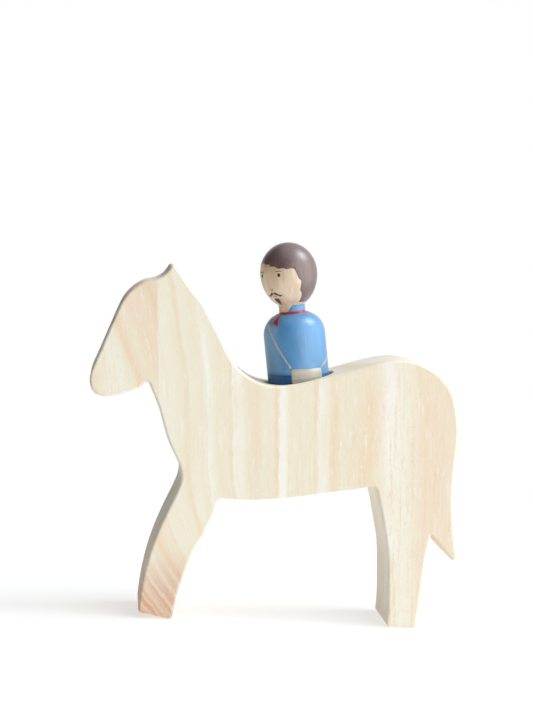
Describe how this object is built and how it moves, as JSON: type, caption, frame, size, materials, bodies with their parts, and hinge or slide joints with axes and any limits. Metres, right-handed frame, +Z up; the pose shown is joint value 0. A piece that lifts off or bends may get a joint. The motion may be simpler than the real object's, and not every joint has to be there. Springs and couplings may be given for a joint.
{
  "type": "toy horse with rider",
  "caption": "Wooden toy horse sawn from a thick board, with a turned, painted peg rider that lifts out of a slanted socket in its saddle.",
  "frame": {"origin": "on the ground, under the middle of the horse's length and of the board's thickness", "axes": "+Z up; +X from the horse's head towards its tail; +Y through the board's thickness"},
  "size_m": [0.182, 0.04, 0.184],
  "materials": {
    "horse_wood": "sanded, unpainted, pale with tan and pinkish vertical grain",
    "rider_wood": "fine smooth wood, satin varnish, bare on the face and neck",
    "hair_paint": "satin brown paint on wood",
    "jacket_paint": "satin light blue paint on wood, with fine brush streaks",
    "trouser_paint": "satin dark blue paint on wood",
    "trim_paint": "satin red paint on wood",
    "satchel_paint": "satin beige paint on wood",
    "face_paint": "dark paint on wood"
  },
  "bodies": {
    "horse": {"horse_body": "horse_wood"},
    "rider": {"rider_peg": "rider_wood"}
  },
  "joints": [
    {"name": "rider_lift", "type": "slide", "parent": "horse", "child": "rider", "axis": [-0.153, 0, 0.9882], "range_m": [0, 0.06]}
  ]
}
